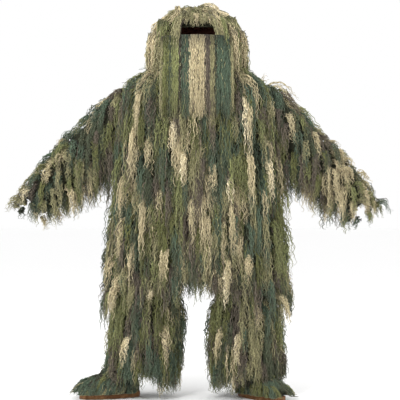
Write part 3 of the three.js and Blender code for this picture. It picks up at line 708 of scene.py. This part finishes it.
@dataclass
class Workshop:
    """What every garment needs: the finishes, the random draws and the forms to drape over."""

    wardrobe: Wardrobe
    rng: np.random.Generator
    forms: list[Form]
    strands_made: int = 0
    patch: tuple[float, float] = (0.038, 0.17)  # width and height of a patch of one tone
    loyal: float = 0.6  # share of locks that keep to their patch's tone
    uneven: float = 0.012  # how far roots stray up and down from their tier
    tousle: float = 0.28  # how far first directions stray

    def tones(self, around: Array, height: Array, shares: dict[Tone, float]) -> Array:
        """Tones in the given shares, the same over patches of neighbouring locks.

        Args:
            around: Distance of each root along its tier.
            height: Height of each root.
            shares: Tone shares.

        Returns:
            A tone number for each root.
        """
        weights = np.array(list(shares.values()))
        values = np.array([t.value for t in shares])
        column = np.floor(around / self.patch[0]).astype(int)
        row = np.floor(height / self.patch[1] + 0.37 * (column % 3)).astype(int)
        cells, cell = np.unique(np.stack([column, row], -1), axis=0, return_inverse=True)
        shared = self.rng.choice(values, size=len(cells), p=weights / weights.sum())[cell.ravel()]
        own = self.rng.choice(values, size=len(around), p=weights / weights.sum())
        return np.where(self.rng.random(len(around)) < self.loyal, shared, own)

    def tier_locks(self, form: Form, heights: Array, angles: tuple[float, float], pitch: float,
                   length: tuple[float, float], lift: tuple[float, float], shares: dict[Tone, float],
                   width: float = 0.024, outward: float = 0.7) -> Locks:
        """Locks rooted in tiers around a form.

        Args:
            form: What they are sewn to.
            heights: The tiers, along the form.
            angles: Arc that they cover, in radians from the front.
            pitch: Spacing of locks along a tier.
            length: Shortest and longest lock.
            lift: Least and greatest height over the form.
            shares: Tone shares.
            width: Half-width of a lock at its root.
            outward: How far the roots stand out before they fall.

        Returns:
            The locks.
        """
        roots, starts, places = [], [], []
        for z in heights:
            a, b, _, _ = form.section(z)
            arc = angles[1] - angles[0]
            count = max(2, int(arc * (a + b) / 2 / pitch))
            angle = np.linspace(*angles, count, endpoint=False) + arc / count / 2
            angle = angle + self.rng.normal(0, 0.25 * pitch / max(a, 0.03), count)
            height = z + self.rng.normal(0, self.uneven, count)
            at = form.point(angle, height, 0.004)
            away = unit(form.point(angle, height, 0.03) - at)
            roots.append(at)
            places.append(np.stack([angle * (a + b) / 2, height], -1))
            starts.append(unit(away * outward + DOWN * 0.5 + self.rng.normal(0, self.tousle, (count, 3))))
        root, start, place = np.concatenate(roots), np.concatenate(starts), np.concatenate(places)
        n = len(root)
        rng = self.rng
        tone = self.tones(place[:, 0], place[:, 1], shares)
        return Locks(root, start, rng.uniform(*length, n), rng.uniform(*lift, n), tone,
                     width * rng.uniform(0.7, 1.35, n))

    def yarn(self, name: str, locks: Locks, body: str, spinner: Spinner, replaces: list[str],
             drape: Drape | None = None, floor: float = 0.004) -> list[bpy.types.Object]:
        """Drape the locks, spin them into strands and ride them on a body.

        Args:
            name: The pieces' common name.
            locks: The locks to make.
            body: The body that they ride on.
            spinner: How the strands are made.
            replaces: Frame nodes that the first piece stands for.
            drape: How the locks fall, or the usual drape.
            floor: No strand goes lower than this.

        Returns:
            The new pieces.
        """
        guides = (drape or Drape(self.forms)).paths(locks)
        lines, place = spinner.spread(guides, locks)
        lines[..., 2] = np.maximum(lines[..., 2], floor)
        lines[..., 1] = np.clip(lines[..., 1], CAD_BOX[0][1] - STRAY_ROOM, CAD_BOX[1][1] + STRAY_ROOM)
        made = []
        count = int(np.ceil(len(lines) / PIECE_STRANDS))
        for k, rows in enumerate(np.array_split(np.arange(len(lines)), count)):
            label = name if count == 1 else f"{name}_{k + 1}"
            piece = spinner.mesh(label, lines[rows], place[rows])
            piece.data.materials.append(self.wardrobe.yarn)
            self.fasten(piece, body, "fringe")
            made.append(piece)
        if replaces:
            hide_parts(*replaces)
        self.strands_made += len(lines)
        log.info("%s: %d strands in %d pieces", name, len(lines), count)
        return made

    def accents(self, name: str, form: Form, bundles: tuple, body: str, width: float = 0.010) -> None:
        """Bold pale bundles over the front, where the eye picks them out.

        Args:
            name: The piece's name.
            form: What the bundles are sewn to.
            bundles: Sideways place, top and length of each, sideways from the form's middle.
            body: The body that they ride on.
            width: Half-width of a lock.
        """
        rng = self.rng
        roots, length = [], []
        for x, top, reach in bundles:
            for shift in rng.uniform(-0.008, 0.008, 2):
                a, b, _, _ = form.section(top)
                angle = np.arctan2(x + shift, b * (1 - min(0.98, abs(x) / a) ** 3) ** (1 / 3))
                roots.append(form.point(angle, np.array(top) + rng.normal(0, self.uneven), 0.02))
                length.append(reach * rng.uniform(0.85, 1.3))
        n = len(roots)
        start = unit(np.array([0.0, -0.35, -1.0]) + rng.normal(0, 0.2, (n, 3)))
        tone = np.where(rng.random(n) < 0.8, Tone.STRAW.value, Tone.CREAM.value)
        locks = Locks(np.array(roots), start, np.array(length), rng.uniform(0.052, 0.062, n), tone,
                      width * rng.uniform(0.6, 1.1, n))
        loose = Spinner(rng, strands=14, crinkle=0.0042, fray=0.0044, spreading=0.3)
        self.yarn(name, locks, body, loose, [])

    def fasten(self, piece: bpy.types.Object, body: str, slot: str) -> None:
        """Ride a piece on a body and report it with its slot.

        Args:
            piece: The piece.
            body: The body that it rides on.
            slot: The record's slot.
        """
        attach(piece, body)
        log.info("%s: %s on %s", piece.name, slot, body)

    def mat(self, name: str, form: Form, span: tuple[float, float], arc: tuple[float, float], body: str,
            offset: float = 0.011, lump: float = 0.007, thick: float = 0.003,
            material: bpy.types.Material | None = None, slot: str = "fringe") -> bpy.types.Object:
        """A lumpy closed sheet just over the cloth, the tangle that the locks grow from.

        Args:
            name: The piece's name.
            form: What it lies on.
            span: Lowest and highest point along the form.
            arc: First and last angle, in radians from the front.
            body: The body that it rides on.
            offset: Height over the form.
            lump: Size of its unevenness.
            thick: Its thickness.
            material: Its finish, or the mat of roots.
            slot: The record's slot.

        Returns:
            The new piece.
        """
        whole = arc[1] - arc[0] > TAU - 1e-3
        rows, columns = 26, 64
        z = np.linspace(*span, rows)
        angle = np.linspace(*arc, columns, endpoint=not whole)
        zz, aa = np.meshgrid(z, angle, indexing="ij")
        bumps = lump * self.rng.uniform(-1, 1, zz.shape)
        skins = []
        for depth in (offset, offset - thick):
            base = form.point(aa.ravel(), zz.ravel(), 0.0)
            out = unit(form.point(aa.ravel(), zz.ravel(), 0.05) - base)
            skins.append(base + out * (depth + bumps.ravel())[:, None])
        piece = closed_sheet(name, skins, columns, whole)
        piece.data.materials.append(material or self.wardrobe.mat)
        self.fasten(piece, body, slot)
        return piece


MIXED: dict[Tone, float] = {
    Tone.FOREST: 0.19, Tone.TEAL: 0.19, Tone.OLIVE: 0.14, Tone.MOSS: 0.13, Tone.KHAKI: 0.13,
    Tone.STRAW: 0.07, Tone.CREAM: 0.01, Tone.BARK: 0.14,
}
WARM: dict[Tone, float] = {
    Tone.MOSS: 0.22, Tone.OLIVE: 0.03, Tone.KHAKI: 0.37, Tone.STRAW: 0.36, Tone.FOREST: 0.02,
}
BOOT: dict[Tone, float] = {
    Tone.FOREST: 0.30, Tone.TEAL: 0.30, Tone.OLIVE: 0.15, Tone.MOSS: 0.08, Tone.SHADE: 0.12, Tone.KHAKI: 0.05,
}
CROWN: dict[Tone, float] = {
    Tone.MOSS: 0.15, Tone.KHAKI: 0.32, Tone.STRAW: 0.41, Tone.CREAM: 0.12,
}
PALE: dict[Tone, float] = {
    Tone.FOREST: 0.12, Tone.TEAL: 0.15, Tone.OLIVE: 0.13, Tone.MOSS: 0.11, Tone.KHAKI: 0.17,
    Tone.STRAW: 0.19, Tone.CREAM: 0.05, Tone.BARK: 0.08,
}


def joint_place(name: str) -> Array:
    """Where a hinge of the frame turns."""
    return np.array(next(j["pos_m"] for j in frame["joints"] if j["name"] == name), float)


def torso_form() -> Form:
    """The jacket's shape, from its frame nodes.

    Returns:
        The form under the jacket's yarn.
    """
    low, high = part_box("jacket_back")
    y = joint_place("shoulder_left")[1]
    hem, neck = low.z, high.z
    depth = high.y - y
    return Form([
        (hem - 0.25, 0.385, depth, 0, y),
        (hem, 0.372, depth, 0, y),
        (hem + 0.28, 0.345, depth, 0, y),
        (hem + 0.61, 0.325, depth, 0, y),
        (neck - 0.09, 0.300, depth, 0, y),
        (neck - 0.03, 0.215, 0.150, 0, y),
        (neck, 0.130, 0.112, 0, y),
    ], power=3.0)


def hood_form() -> Form:
    """The hood's shape, from its frame nodes.

    Returns:
        The form under the hood's yarn.
    """
    low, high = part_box("hood_left")
    y = 0.005
    foot, top = low.z, high.z
    return Form([
        (foot - 0.05, 0.145, 0.130, 0, y),
        (foot, 0.150, 0.135, 0, y),
        (foot + 0.075, 0.162, 0.155, 0, y),
        (foot + 0.155, 0.160, 0.158, 0, y),
        (foot + 0.203, 0.148, 0.150, 0, y),
        (foot + 0.243, 0.098, 0.104, 0, y),
        (top, 0.014, 0.014, 0, y),
    ])


def leg_form(side: int) -> Form:
    """One trouser leg with the room over its overboot."""
    x, shift, y = 0.225, (0.014 if side > 0 else 0.040), 0.022
    return Form([
        (0.02, 0.120, 0.125, side * (x + shift), y), (0.138, 0.126, 0.126, side * (x + shift), y),
        (0.48, 0.125, 0.125, side * x, y), (0.80, 0.125, 0.125, side * x, y),
    ])


def sleeve_form(side: int) -> Form:
    """One sleeve, along its own axis from the shoulder joint.

    Args:
        side: 1 for the wearer's left, -1 for the right.

    Returns:
        The form under the sleeve's yarn.
    """
    drop = np.radians(46.0)
    along = np.array([side * np.cos(drop), 0, -np.sin(drop)])
    back = np.array([0.0, 1.0, 0.0])
    over = np.cross(back, along)
    rows = [
        (0.0, 0.080, 0.080, 0, 0),
        (0.38, 0.074, 0.076, 0, 0),
        (0.64, 0.060, 0.060, 0, 0),
        (0.775, 0.052, 0.050, 0, 0),
    ]
    return Form(rows, origin=joint_place(f"shoulder_{side_name(side)}"), axes=np.stack([over, back, along]))


def boot_form(side: int) -> Form:
    """The toe and instep of one overboot, along its own length.

    Args:
        side: 1 for the wearer's left, -1 for the right.

    Returns:
        The form under the overboot's yarn.
    """
    low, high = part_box(f"overboot_sole_{side_name(side)}")
    turn = np.radians(40.0 if side > 0 else 70.0)
    ahead = np.array([side * np.sin(turn), -np.cos(turn), 0.0])
    across = np.cross(ahead, -DOWN)
    centre = np.array([(low.x + high.x) / 2, (low.y + high.y) / 2, 0.045])
    rows = [
        (-0.14, 0.040, 0.060, 0, 0),
        (-0.08, 0.054, 0.088, 0, 0),
        (-0.02, 0.054, 0.088, 0, 0),
        (0.034, 0.054, 0.052, 0, 0),
        (0.116, 0.046, 0.022, 0, 0),
        (0.148, 0.022, 0.010, 0, 0),
    ]
    return Form(rows, origin=centre, axes=np.stack([across, DOWN, ahead]))


@dataclass
class Jacket:
    """The jacket's body: mat, tiers of locks front and back, and the ragged skirt."""

    shop: Workshop
    form: Form
    pitch: float = 0.028
    tier: float = 0.054
    hem: tuple[float, float] = (0.44, 0.52)
    bundles: tuple = (
        (-0.24, 1.44, 0.24), (-0.26, 1.28, 0.22), (-0.09, 1.30, 0.20), (0.20, 1.42, 0.26), (0.22, 1.18, 0.24),
        (-0.22, 0.95, 0.26), (-0.02, 0.95, 0.20), (-0.30, 1.04, 0.18), (0.07, 1.10, 0.14), (0.21, 0.70, 0.16),
        (-0.13, 0.74, 0.16), (0.29, 1.12, 0.16), (0.04, 0.86, 0.15), (0.14, 0.90, 0.20), (-0.05, 1.16, 0.14),
        (0.12, 0.66, 0.16), (-0.31, 0.84, 0.18),
    )

    def build(self) -> None:
        """Make the jacket's yarn."""
        shop, half = self.shop, np.pi / 2
        halves = (("front", (-half, half), 0.05, 0.7), ("back", (half, 3 * half), 0.016, 0.15))
        for name, arc, lift, push in halves:
            shop.mat(f"mat_{name}", self.form, (0.60, 1.47), arc, "suit")
            heights = np.arange(0.61, 1.44, self.tier)
            locks = shop.tier_locks(self.form, heights, arc, self.pitch, (0.15, 0.27), (0.010, lift),
                                    MIXED, width=0.017, outward=push)
            hem = shop.rng.uniform(*self.hem, len(locks.length))
            locks.length = np.minimum(locks.length, locks.roots[:, 2] - hem)
            nodes = ["fringe_back"] if name == "back" else ["fringe_front_left", "fringe_front_right"]
            shop.yarn(f"yarn_{name}", locks, "suit", Spinner(shop.rng), nodes)
            yoke = shop.tier_locks(self.form, np.array([1.455, 1.485, 1.512]), arc, self.pitch * 0.9,
                                   (0.16, 0.28), (0.012, lift), MIXED, width=0.017)
            shop.yarn(f"yarn_yoke_{name}", yoke, "suit", Spinner(shop.rng), [])
            collar = shop.tier_locks(self.form, np.array([1.505, 1.522]), arc, self.pitch, (0.16, 0.26),
                                     (0.6 * lift, lift + 0.008), PALE, width=0.015, outward=0.4)
            shop.yarn(f"yarn_collar_{name}", collar, "suit", Spinner(shop.rng), [])
        shop.accents("yarn_accents", self.form, self.bundles, "suit")


@dataclass
class Sleeve:
    """One sleeve: mat, locks over the arm, and the long ones under the forearm."""

    shop: Workshop
    form: Form
    side: int
    pitch: float = 0.028
    lowest: float = 0.77

    def build(self) -> None:
        """Make the sleeve's yarn."""
        shop = self.shop
        name = side_name(self.side)
        body = f"sleeve_{name}"
        shop.mat(f"mat_sleeve_{name}", self.form, (0.04, 0.66), (0, TAU), body)
        upper = shop.tier_locks(self.form, np.arange(0.03, 0.38, 0.048), (0, TAU), self.pitch, (0.12, 0.21),
                                (0.014, 0.044), MIXED, width=0.015, outward=0.2)
        shop.yarn(f"yarn_upper_arm_{name}", upper, body, Spinner(shop.rng), [f"fringe_upper_arm_{name}"])
        lower = shop.tier_locks(self.form, np.arange(0.38, 0.76, 0.045), (0, TAU), self.pitch,
                                (0.09, 0.17), (0.018, 0.065), PALE, width=0.013, outward=0.9)
        room = lower.roots[:, 2] - shop.rng.uniform(self.lowest, self.lowest + 0.09, len(lower.length))
        lower.length = np.minimum(room, lower.length)
        lower = lower.chosen(room > 0.06)
        nodes = [f"fringe_forearm_{name}", f"fringe_hanging_{name}"]
        shop.yarn(f"yarn_forearm_{name}", lower, body, Spinner(shop.rng), nodes)


@dataclass
class Hood:
    """The hood: dark lining, locks raying from the crown, and the short brim."""

    shop: Workshop
    form: Form
    slot_top: float = 1.719
    bundles: tuple = (
        ((0.07, -0.13, 1.79), (0.75, -0.3, -0.75), 0.25, (Tone.MOSS, Tone.STRAW, Tone.KHAKI), 8),
        ((0.15, -0.10, 1.75), (0.25, -0.4, -1.0), 0.21, (Tone.KHAKI, Tone.STRAW, Tone.MOSS), 9),
        ((-0.06, -0.13, 1.79), (-0.7, -0.3, -0.75), 0.22, (Tone.MOSS, Tone.KHAKI, Tone.STRAW), 7),
        ((-0.15, -0.10, 1.75), (-0.25, -0.4, -1.0), 0.20, (Tone.MOSS, Tone.KHAKI, Tone.STRAW), 9),
        ((0.17, -0.04, 1.70), (0.7, -0.1, -0.75), 0.13, (Tone.FOREST, Tone.SHADE, Tone.TEAL), 6),
        ((-0.19, -0.03, 1.66), (-0.45, -0.1, -0.9), 0.10, (Tone.BARK, Tone.FOREST, Tone.OLIVE), 5),
    )

    def build(self) -> None:
        """Make the hood's yarn."""
        shop = self.shop
        face = np.radians(43)
        round_back = (face, TAU - face)
        shop.mat("hood_lining", self.form, (1.55, 1.80), round_back, "hood", offset=-0.004, lump=0.001,
                 thick=0.002, material=shop.wardrobe.inside, slot="lining")
        shop.mat("mat_hood", self.form, (1.55, 1.81), round_back, "hood")
        shop.mat("mat_brow", self.form, (1.726, 1.81), (-face, face), "hood")
        sides = shop.tier_locks(self.form, np.array([1.57, 1.61, 1.65, 1.69, 1.73]),
                                (face + 0.12, TAU - face - 0.12), 0.026, (0.15, 0.25), (0.010, 0.030), WARM,
                                width=0.016)
        low = shop.tier_locks(self.form, np.array([1.60, 1.64]), (face + 0.15, TAU - face - 0.15), 0.026,
                              (0.12, 0.20), (0.020, 0.050), PALE, width=0.016, outward=1.2)
        shop.yarn("yarn_neck", low, "hood", Spinner(shop.rng), [])
        sleek = Spinner(shop.rng, crinkle=0.0016, fray=0.0026)
        shop.yarn("yarn_hood", sides, "hood", sleek, ["fringe_hood_left", "fringe_hood_right"])
        crown = shop.tier_locks(self.form, np.array([1.762, 1.782, 1.797, 1.807]), round_back, 0.024,
                                (0.17, 0.28), (0.018, 0.040), CROWN, width=0.014, outward=0.5)
        shop.yarn("yarn_crown", crown, "hood", sleek, [])
        brim = shop.tier_locks(self.form, np.array([1.768, 1.784, 1.793, 1.801, 1.808]), (-face, face), 0.012,
                               (1.0, 1.0), (0.016, 0.032), CROWN, width=0.010, outward=0.15)
        drop = brim.roots[:, 2] - self.slot_top
        brim.length = drop * shop.rng.uniform(1.1, 1.35, len(drop)) + 0.010
        shop.yarn("yarn_brim", brim, "hood", sleek, ["fringe_brow"])
        shop.yarn("yarn_tufts", self.tufts(), "hood", sleek, [])

    def tufts(self) -> Locks:
        """Bundles that break the hood's outline: one swept over each cheek and a dark one below it.

        Returns:
            The locks of all the bundles.
        """
        rng = self.shop.rng
        roots, starts, length, tone = [], [], [], []
        for place, ahead, reach, tones, count in self.bundles:
            for _ in range(count):
                roots.append(np.array(place) + rng.normal(0, 0.012, 3))
                starts.append(np.array(ahead) + rng.normal(0, 0.12, 3))
                length.append(reach * rng.uniform(0.8, 1.2))
                tone.append(rng.choice(tones).value)
        n = len(roots)
        return Locks(np.array(roots), unit(np.array(starts)), np.array(length), rng.uniform(0.036, 0.046, n),
                     np.array(tone), rng.uniform(0.008, 0.013, n))


@dataclass
class Veil:
    """The face veil: a dark cloth and a curtain of long straight yarn in stripes."""

    shop: Workshop
    strands: int = 260
    layers: int = 3
    overlap: float = -0.075  # the curtain starts this share of its drop above the cloth, over the band
    stripes: tuple = (
        (0.03, Tone.KHAKI), (0.11, Tone.OLIVE), (0.15, Tone.FOREST), (0.25, Tone.MOSS), (0.29, Tone.SHADE),
        (0.39, Tone.TEAL), (0.61, Tone.STRAW), (0.68, Tone.BARK), (0.74, Tone.KHAKI), (0.76, Tone.SHADE),
        (0.95, Tone.TEAL), (1.01, Tone.KHAKI),
    )

    def surface(self, drop: Array, across: Array, forward: float) -> Array:
        """A point of the curtain, at a share of its drop and of its half-width.

        Args:
            drop: Share of the veil cloth's height, 0 at its top.
            across: Share of the half-width, -1 to 1.
            forward: Distance in front of the curtain's own surface.

        Returns:
            The points, in the frame's space.
        """
        low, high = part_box("veil_cloth")
        settled = np.clip(drop * 1.8, 0, 1)
        half = 0.162 + 0.006 * drop
        y = -0.202 - 0.021 * settled - forward
        curl = 0.070 - 0.060 * settled
        return np.stack([half * across, y + curl * across**2, high.z + (low.z - high.z) * drop], -1)

    def cloth(self) -> bpy.types.Object:
        """The cloth behind the yarn, hung from the band.

        Returns:
            The new piece.
        """
        rows, columns = 40, 40
        d, s = np.meshgrid(np.linspace(0.86, 0, rows), np.linspace(-1, 1, columns), indexing="ij")
        folds = 0.0012 * np.sin(34 * s) * d
        front = self.surface(d.ravel(), s.ravel(), 0.003) + np.stack([0 * d, folds, 0 * d], -1).reshape(-1, 3)
        piece = closed_sheet("veil_backing", [front, front + np.array([0, 0.002, 0])], columns)
        piece.data.materials.append(self.shop.wardrobe.lining)
        self.shop.fasten(piece, "veil", "lining")
        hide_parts("veil_cloth")
        return piece

    def build(self) -> None:
        """Make the veil."""
        shop, rng = self.shop, self.shop.rng
        backing = self.cloth()
        spinner = Spinner(rng, radius=0.0019, sides=3)
        count, steps = self.strands * self.layers, 22
        across = np.tile(np.linspace(-1, 1, self.strands), self.layers) + rng.normal(0, 0.006, count)
        layer = np.repeat(np.arange(self.layers), self.strands)
        t = np.linspace(0, 1, steps)
        reach = rng.uniform(0.80, 1.04, count) + 0.03 * np.sin(17 * across)
        fall = self.overlap + (reach[:, None] - self.overlap) * t
        sway = rng.normal(0, 0.010, (count, 1)) * t**1.5
        wave = 0.004 * np.sin(rng.uniform(1, 3, (count, 1)) * TAU * t + rng.uniform(0, TAU, (count, 1))) * t
        lines = np.empty((count, steps, 3))
        for k in range(steps):
            s = across + sway[:, k] + wave[:, k]
            forward = 0.006 + 0.005 * layer + 0.004 * np.abs(np.sin(9 * across + layer))
            lines[:, k] = self.surface(fall[:, k], s, 0.0) - np.stack([0 * s, forward, 0 * s], -1)
        lines[:, 1:] += rng.normal(0, 0.0030, (count, steps - 1, 3))
        edges = np.array([e for e, _ in self.stripes])
        tones = np.array([tone.value for _, tone in self.stripes])
        share = np.clip((across + rng.normal(0, 0.022, count) + 1) / 2, 0, 1)
        tone = tones[np.searchsorted(edges, share)]
        odd = rng.random(count) < 0.07
        tone[odd] = rng.choice([Tone.SHADE.value, Tone.BARK.value, Tone.KHAKI.value], odd.sum())
        place = (tone + rng.uniform(0.12, 0.88, count)) / len(Tone)
        curtain = spinner.mesh("yarn_veil", lines, place)
        curtain.data.materials.append(shop.wardrobe.veil_yarn)
        shop.fasten(curtain, "veil", "fringe")
        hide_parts("fringe_veil")
        log.info("veil: %d strands", count)
        self.edges()

    def edges(self) -> None:
        """Short locks over the ends of the band, beside the curtain."""
        shop = self.shop
        low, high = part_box("veil_band")
        half = high.x
        band = Form([(z, half, half - 0.004, 0, 0.005) for z in (low.z - 0.02, high.z + 0.02)])
        drape = Drape([*shop.forms, band])
        for name, arc in (("left", (0.86, 1.66)), ("right", (-1.66, -0.86))):
            locks = shop.tier_locks(band, np.array([low.z + 0.008, high.z + 0.004]), arc, 0.020, (0.12, 0.26),
                                    (0.006, 0.014), CROWN, width=0.012, outward=0.15)
            shop.yarn(f"yarn_band_{name}", locks, "veil", Spinner(shop.rng), [], drape=drape)


@dataclass
class Trousers:
    """One trouser leg's locks, down to the floor at the inside and to the overboot elsewhere."""

    shop: Workshop
    form: Form
    side: int
    inner: float = 0.19
    right_bundles: tuple = ((-0.10, 0.52, 0.20), (0.07, 0.36, 0.18), (-0.06, 0.30, 0.15), (0.02, 0.50, 0.12))
    left_bundles: tuple = ((-0.10, 0.34, 0.19), (-0.03, 0.32, 0.18), (0.11, 0.50, 0.16), (0.04, 0.44, 0.10))

    def build(self) -> None:
        """Make the leg's yarn."""
        shop = self.shop
        name = side_name(self.side)
        shop.mat(f"mat_leg_{name}", self.form, (0.13, 0.62), (0, TAU), "suit")
        locks = shop.tier_locks(self.form, np.arange(0.13, 0.60, 0.050), (0, TAU), 0.028, (0.14, 0.25),
                                (0.010, 0.040), MIXED, width=0.017)
        clear = np.where(self.side * (locks.roots[:, 0] - self.side * self.inner) < 0, 0.012, 0.045)
        room = locks.roots[:, 2] - clear - shop.rng.uniform(0, 0.03, len(locks.length))
        locks.length = np.minimum(locks.length, room)
        shop.yarn(f"yarn_leg_{name}", locks, "suit", Spinner(shop.rng), [f"fringe_leg_{name}"])
        bundles = self.left_bundles if self.side > 0 else self.right_bundles
        shop.accents(f"yarn_leg_accents_{name}", self.form, bundles, "suit", width=0.009)


@dataclass
class Overboot:
    """One overboot's locks, falling forward over the toe."""

    shop: Workshop
    form: Form
    side: int

    def build(self) -> None:
        """Make the boot's yarn."""
        shop = self.shop
        name = side_name(self.side)
        locks = shop.tier_locks(self.form, np.arange(-0.11, 0.12, 0.017), (-np.pi / 2 - 0.2, np.pi / 2 + 0.2),
                                0.014, (0.07, 0.12), (0.004, 0.012), BOOT, width=0.010, outward=0.25)
        ahead = self.form.axes[2]
        locks.start = unit(locks.start + 1.6 * ahead)
        sole_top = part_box(f"overboot_sole_{name}")[1].z
        sleek = Spinner(shop.rng, crinkle=0.0014, fray=0.0018)
        shop.yarn(f"yarn_boot_{name}", locks, "suit", sleek, [f"fringe_boot_{name}"],
                  drape=Drape([self.form], turn=0.12), floor=sole_top + 0.002)


# ---------------------------------------------------------------- studio


@dataclass
class Studio:
    """Camera, pale floor and soft light."""

    distance: float = 6.0
    eye: float = 0.95
    view_height: float = 1.88
    across: float = 0.014
    middle: float = 0.926

    def camera(self) -> None:
        """Place the camera straight in front."""
        data = bpy.data.cameras.new("camera")
        data.sensor_width = 36.0
        data.lens = data.sensor_width * self.distance / self.view_height
        data.shift_y = (self.middle - self.eye) / self.view_height
        made = bpy.data.objects.new("camera", data)
        made.location = (self.across, -self.distance, self.eye)
        made.rotation_euler = (np.pi / 2, 0, 0)
        bpy.context.collection.objects.link(made)
        bpy.context.scene.camera = made

    def floor(self) -> None:
        """A large pale floor."""
        data = bpy.data.meshes.new("floor")
        size = 30.0
        corners = [(-size, -size, 0), (size, -size, 0), (size, size, 0), (-size, size, 0)]
        data.from_pydata(corners, [], [(0, 1, 2, 3)])
        made = bpy.data.objects.new("floor", data)
        bpy.context.collection.objects.link(made)
        pale = bpy.data.materials.new("pale_floor")
        pale.use_nodes = True
        pale.node_tree.nodes["Principled BSDF"].inputs["Base Color"].default_value = (0.98, 0.98, 0.98, 1)
        pale.node_tree.nodes["Principled BSDF"].inputs["Roughness"].default_value = 0.9
        data.materials.append(pale)

    def light(self, name: str, place: tuple, size: float, power: float) -> None:
        """A soft square light that faces the suit's chest.

        Args:
            name: The light's name.
            place: Where it stands.
            size: Length of its side.
            power: Its power, in watts.
        """
        data = bpy.data.lights.new(name, "AREA")
        data.size, data.energy = size, power
        made = bpy.data.objects.new(name, data)
        made.location = place
        made.rotation_euler = (Vector((0, 0, 1.0)) - Vector(place)).to_track_quat("-Z", "Y").to_euler()
        bpy.context.collection.objects.link(made)

    def build(self) -> None:
        """Make the whole studio."""
        self.camera()
        self.floor()
        self.light("key", (-2.2, -4.4, 3.8), 1.6, 175)
        self.light("fill", (3.4, -3.6, 2.0), 3.0, 30)
        self.light("back", (0.5, 4.0, 3.6), 3.0, 60)
        world = bpy.data.worlds.new("studio")
        world.use_nodes = True
        world.node_tree.nodes["Background"].inputs["Color"].default_value = (1, 1, 1, 1)
        world.node_tree.nodes["Background"].inputs["Strength"].default_value = 1.0
        bpy.context.scene.world = world
        bpy.context.scene.view_settings.view_transform = "Standard"


def main() -> None:
    """Build the suit's looks in order."""
    Studio().build()
    torso, hood = torso_form(), hood_form()
    legs = {side: leg_form(side) for side in (1, -1)}
    arms = {side: sleeve_form(side) for side in (1, -1)}
    shop = Workshop(Wardrobe(), np.random.default_rng(11), [torso, hood, *legs.values(), *arms.values()])
    shop.wardrobe.dress_frame()
    Jacket(shop, torso).build()
    Hood(shop, hood).build()
    Veil(shop).build()
    for side in (1, -1):
        Sleeve(shop, arms[side], side).build()
        Trousers(shop, legs[side], side).build()
        Overboot(shop, boot_form(side), side).build()
    log.info("%d strands in all", shop.strands_made)


if __name__ == "__main__":
    logging.basicConfig(level=logging.INFO, format="%(name)s: %(message)s")
    main()
